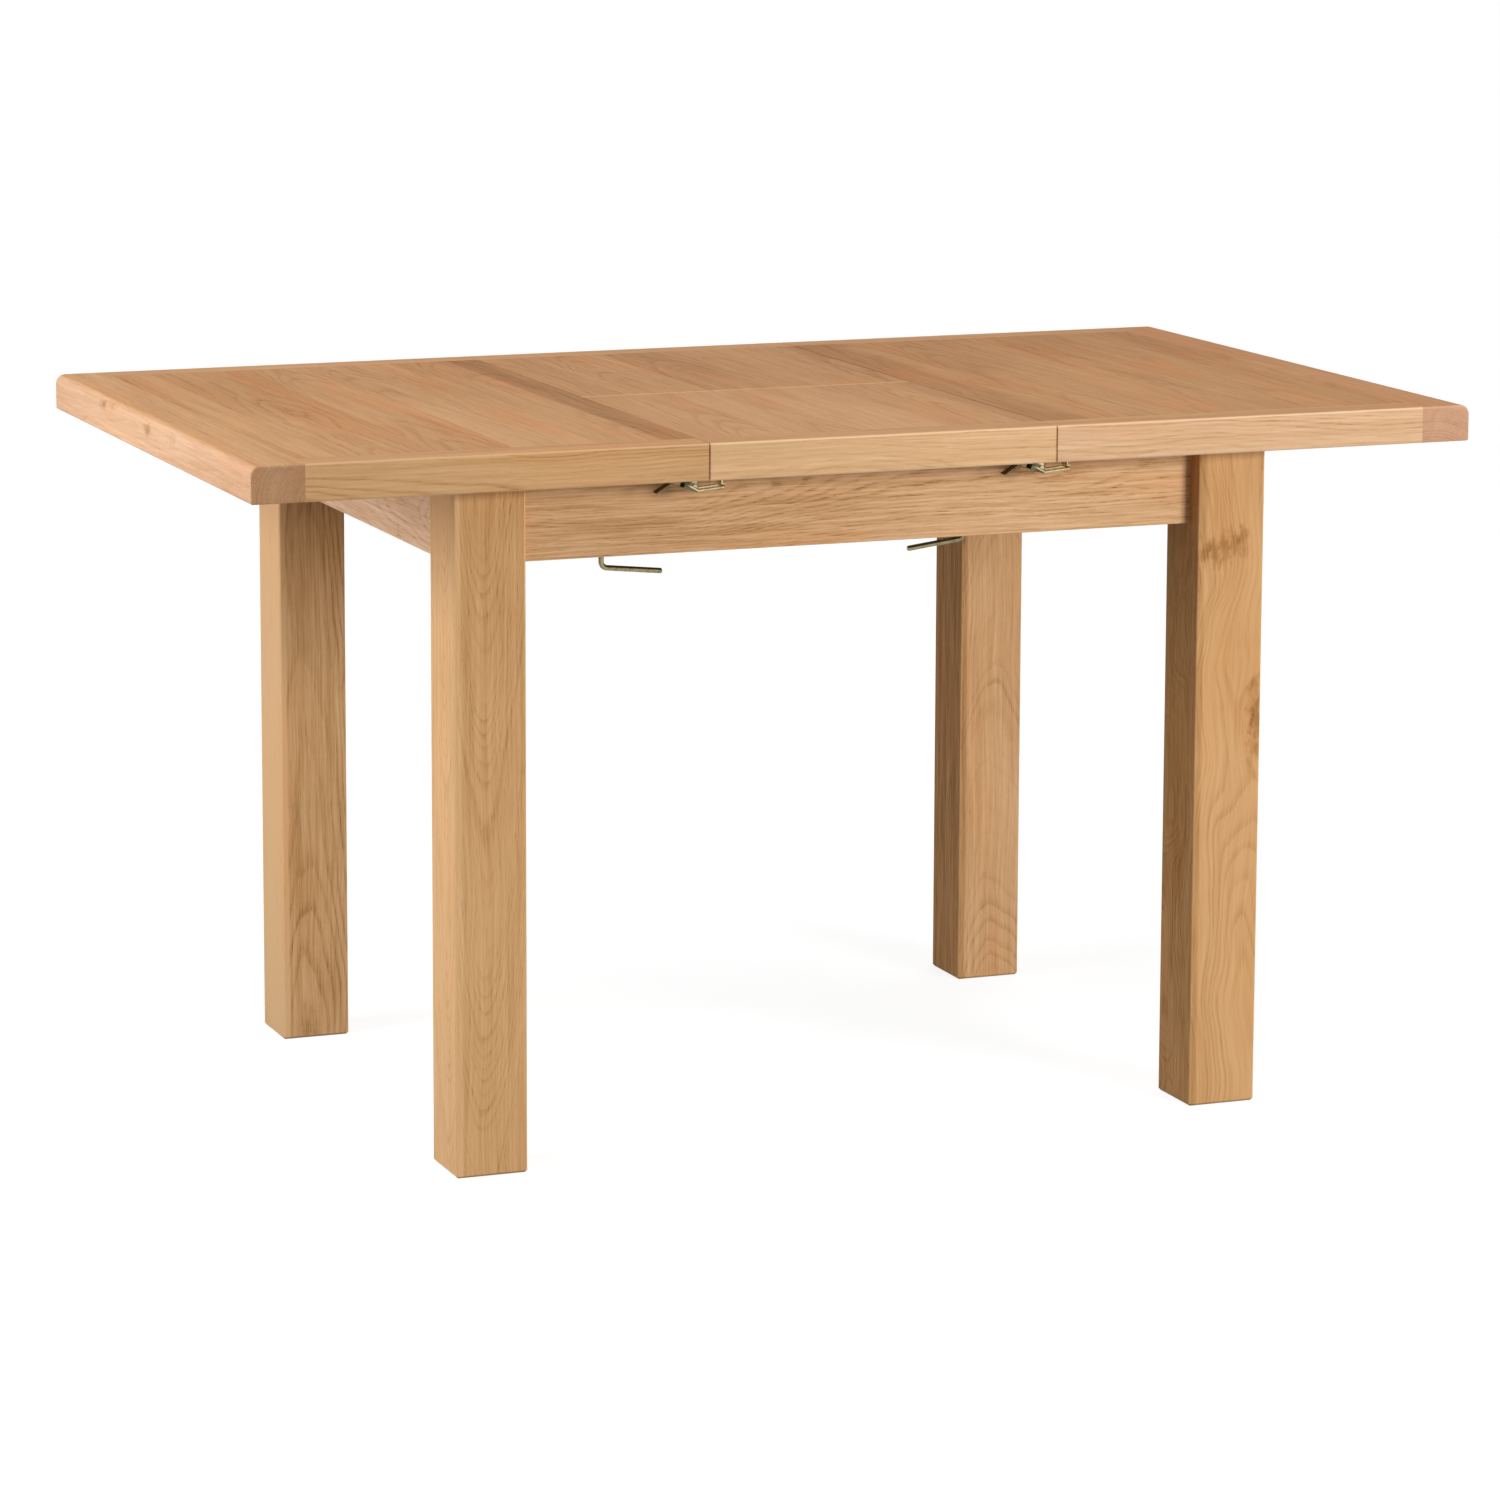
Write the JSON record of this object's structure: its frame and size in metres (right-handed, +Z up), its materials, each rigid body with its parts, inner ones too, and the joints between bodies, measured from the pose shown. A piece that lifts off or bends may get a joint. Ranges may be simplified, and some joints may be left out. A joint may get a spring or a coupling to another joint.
{
  "type": "extending dining table",
  "caption": "Small oak dining table shown open: square legs, two end tops on slides, a folding middle leaf, toggle catches and lock bolts.",
  "frame": {"origin": "on the floor, under the middle of the table", "axes": "+X runs along the table, +Y to its rear, +Z up; the catches are on the front, at -Y"},
  "size_m": [1.4, 0.8, 0.78],
  "materials": {
    "panel_oak": "satin lacquered oak boards",
    "edge_oak": "satin lacquered oak edge strips and end boards",
    "leg_oak": "satin lacquered oak",
    "frame_oak": "satin lacquered oak",
    "runner_beech": "waxed beech",
    "zinc_steel": "zinc plated",
    "bright_steel": "plain plated sheet",
    "yellow_zinc": "yellow passivated zinc plating"
  },
  "bodies": {
    "frame": {"corner_blocks": "frame_oak", "frame_screws": "zinc_steel", "front_hinge_cups": "bright_steel", "front_inner_guide": "runner_beech", "front_left_leg": "leg_oak", "front_middle_guide": "runner_beech", "front_outer_guide": "runner_beech", "front_rail": "frame_oak", "front_right_leg": "leg_oak", "front_slide_bed": "frame_oak", "leaf_front_edge": "edge_oak", "leaf_front_panel": "panel_oak", "leaf_screws": "zinc_steel", "left_bearer": "frame_oak", "left_catch_keeper": "yellow_zinc", "left_rail": "frame_oak", "leg_bolts": "zinc_steel", "leg_nuts": "zinc_steel", "lock_inserts": "yellow_zinc", "pivot_arms": "bright_steel", "pivot_plates": "bright_steel", "rear_inner_guide": "runner_beech", "rear_left_leg": "leg_oak", "rear_middle_guide": "runner_beech", "rear_outer_guide": "runner_beech", "rear_rail": "frame_oak", "rear_right_leg": "leg_oak", "rear_slide_bed": "frame_oak", "right_bearer": "frame_oak", "right_catch_base": "yellow_zinc", "right_catch_rivet": "yellow_zinc", "right_rail": "frame_oak"},
    "left_top": {"left_catch_base": "yellow_zinc", "left_catch_rivet": "yellow_zinc", "left_catch_screws": "zinc_steel", "left_end_board": "edge_oak", "left_front_edge": "edge_oak", "left_front_runner": "runner_beech", "left_panel": "panel_oak", "left_rear_edge": "edge_oak", "left_rear_runner": "runner_beech", "left_runner_screws": "zinc_steel"},
    "right_top": {"right_catch_keeper": "yellow_zinc", "right_end_board": "edge_oak", "right_front_edge": "edge_oak", "right_front_runner": "runner_beech", "right_keeper_screws": "zinc_steel", "right_panel": "panel_oak", "right_rear_edge": "edge_oak", "right_rear_runner": "runner_beech", "right_runner_screws": "zinc_steel"},
    "leaf_rear": {"leaf_rear_edge": "edge_oak", "leaf_rear_panel": "panel_oak", "rear_hinge_cups": "bright_steel"},
    "left_lever": {"left_catch_lever": "yellow_zinc"},
    "left_bail": {"left_catch_bail": "yellow_zinc"},
    "left_bolt": {"left_lock_bolt": "yellow_zinc"},
    "right_lever": {"right_catch_lever": "yellow_zinc"},
    "right_bail": {"right_catch_bail": "yellow_zinc"},
    "right_bolt": {"right_lock_bolt": "yellow_zinc"}
  },
  "joints": [
    {"name": "left_top_slide", "type": "slide", "parent": "frame", "child": "left_top", "axis": [-1, 0, 0], "range_m": [0, 0.054]},
    {"name": "right_top_slide", "type": "slide", "parent": "frame", "child": "right_top", "axis": [1, 0, 0], "range_m": [0, 0.054]},
    {"name": "leaf_fold", "type": "hinge", "parent": "frame", "child": "leaf_rear", "pos_m": [0, 0, 0.7803], "axis": [1, 0, 0], "range_deg": [0, 180]},
    {"name": "left_lever_turn", "type": "hinge", "parent": "left_top", "child": "left_lever", "pos_m": [-0.208, -0.372, 0.7315], "axis": [0, -1, 0], "range_deg": [0, 105]},
    {"name": "left_bail_turn", "type": "hinge", "parent": "left_lever", "child": "left_bail", "pos_m": [-0.216, -0.372, 0.7335], "axis": [0, 1, 0], "range_deg": [0, 105]},
    {"name": "right_lever_turn", "type": "hinge", "parent": "frame", "child": "right_lever", "pos_m": [0.192, -0.372, 0.7315], "axis": [0, -1, 0], "range_deg": [0, 105]},
    {"name": "right_bail_turn", "type": "hinge", "parent": "right_lever", "child": "right_bail", "pos_m": [0.184, -0.372, 0.7335], "axis": [0, 1, 0], "range_deg": [0, 105]},
    {"name": "left_bolt_turn", "type": "hinge", "parent": "frame", "child": "left_bolt", "pos_m": [-0.281, -0.289, 0.66], "axis": [0, 0, -1], "range_deg": [0, 360]},
    {"name": "right_bolt_turn", "type": "hinge", "parent": "frame", "child": "right_bolt", "pos_m": [0.163, -0.235, 0.66], "axis": [0, 0, -1], "range_deg": [0, 360]}
  ],
  "couplings": [
    {"joint": "left_bail_turn", "follows": "left_lever_turn", "ratio": 1},
    {"joint": "right_bail_turn", "follows": "right_lever_turn", "ratio": 1}
  ]
}
